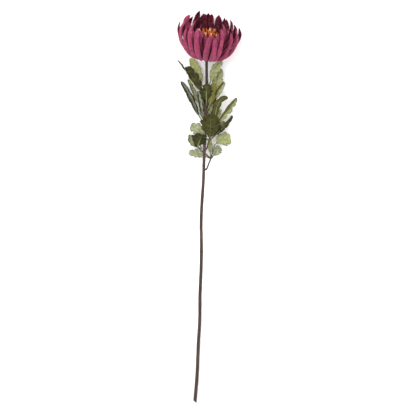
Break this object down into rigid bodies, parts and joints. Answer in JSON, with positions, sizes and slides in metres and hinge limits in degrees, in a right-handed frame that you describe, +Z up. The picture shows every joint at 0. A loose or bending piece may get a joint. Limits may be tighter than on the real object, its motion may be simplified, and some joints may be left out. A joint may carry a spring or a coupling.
{
  "type": "spider chrysanthemum flower",
  "caption": "Cut spider chrysanthemum lying on its side: a bowl of quilled mauve-wine petals round an orange heart, on a long bare stem with lobed olive leaves below the bloom.",
  "frame": {"origin": "middle of the underside of the flower's box, on the surface that it lies on", "axes": "+Y along the stem from the cut end to the bloom, +Z up from the surface"},
  "size_m": [0.1268, 0.7632, 0.114],
  "materials": {
    "stem_skin": "matt, fibrous brown skin",
    "shoot_skin": "matt, purple-brown skin",
    "bract_green": "matt, downy green",
    "disc_floret_orange": "matt, waxy orange to cream",
    "petal_outer_mauve": "velvety mauve-pink outside, dark wine inside",
    "petal_middle_wine": "velvety mauve-pink outside, dark wine inside",
    "petal_inner_wine": "velvety, dark wine",
    "leaf_olive": "matt olive upper side, veined",
    "leaf_sage": "downy pale sage underside, veined"
  },
  "bodies": {
    "root": {"stem": "stem_skin", "side_shoot_lower": "shoot_skin", "side_shoot_upper": "shoot_skin", "calyx": "bract_green", "disc_florets": "disc_floret_orange", "leaf_01": "leaf_olive", "leaf_02": "leaf_sage", "leaf_03": "leaf_olive", "leaf_04": "leaf_sage", "leaf_05": "leaf_olive", "leaf_06": "leaf_sage", "leaf_07": "leaf_olive", "leaf_08": "leaf_sage", "leaf_09": "leaf_sage", "leaf_10": "leaf_sage", "leaf_11": "leaf_olive", "leaf_12": "leaf_sage", "leaf_13": "leaf_olive", "leaf_14": "leaf_sage", "leaf_15": "leaf_sage", "leaf_16": "leaf_olive", "leaf_17": "leaf_olive", "leaf_18": "leaf_sage", "leaf_19": "leaf_olive", "leaf_20": "leaf_sage", "leaf_21": "leaf_sage", "leaf_22": "leaf_sage", "outer_petal_01": "petal_outer_mauve", "outer_petal_02": "petal_outer_mauve", "outer_petal_03": "petal_outer_mauve", "outer_petal_04": "petal_outer_mauve", "outer_petal_05": "petal_outer_mauve", "outer_petal_06": "petal_outer_mauve", "outer_petal_07": "petal_outer_mauve", "outer_petal_08": "petal_outer_mauve", "outer_petal_09": "petal_outer_mauve", "outer_petal_10": "petal_outer_mauve", "outer_petal_11": "petal_outer_mauve", "outer_petal_12": "petal_outer_mauve", "outer_petal_13": "petal_outer_mauve", "outer_petal_14": "petal_outer_mauve", "outer_petal_15": "petal_outer_mauve", "outer_petal_16": "petal_outer_mauve", "outer_petal_17": "petal_outer_mauve", "outer_petal_18": "petal_outer_mauve", "outer_petal_19": "petal_outer_mauve", "middle_petal_01": "petal_middle_wine", "middle_petal_02": "petal_middle_wine", "middle_petal_03": "petal_middle_wine", "middle_petal_04": "petal_middle_wine", "middle_petal_05": "petal_middle_wine", "middle_petal_06": "petal_middle_wine", "middle_petal_07": "petal_middle_wine", "middle_petal_08": "petal_middle_wine", "middle_petal_09": "petal_middle_wine", "inner_petal_01": "petal_inner_wine", "inner_petal_02": "petal_inner_wine", "inner_petal_03": "petal_inner_wine", "inner_petal_04": "petal_inner_wine", "inner_petal_05": "petal_inner_wine"}
  },
  "joints": []
}
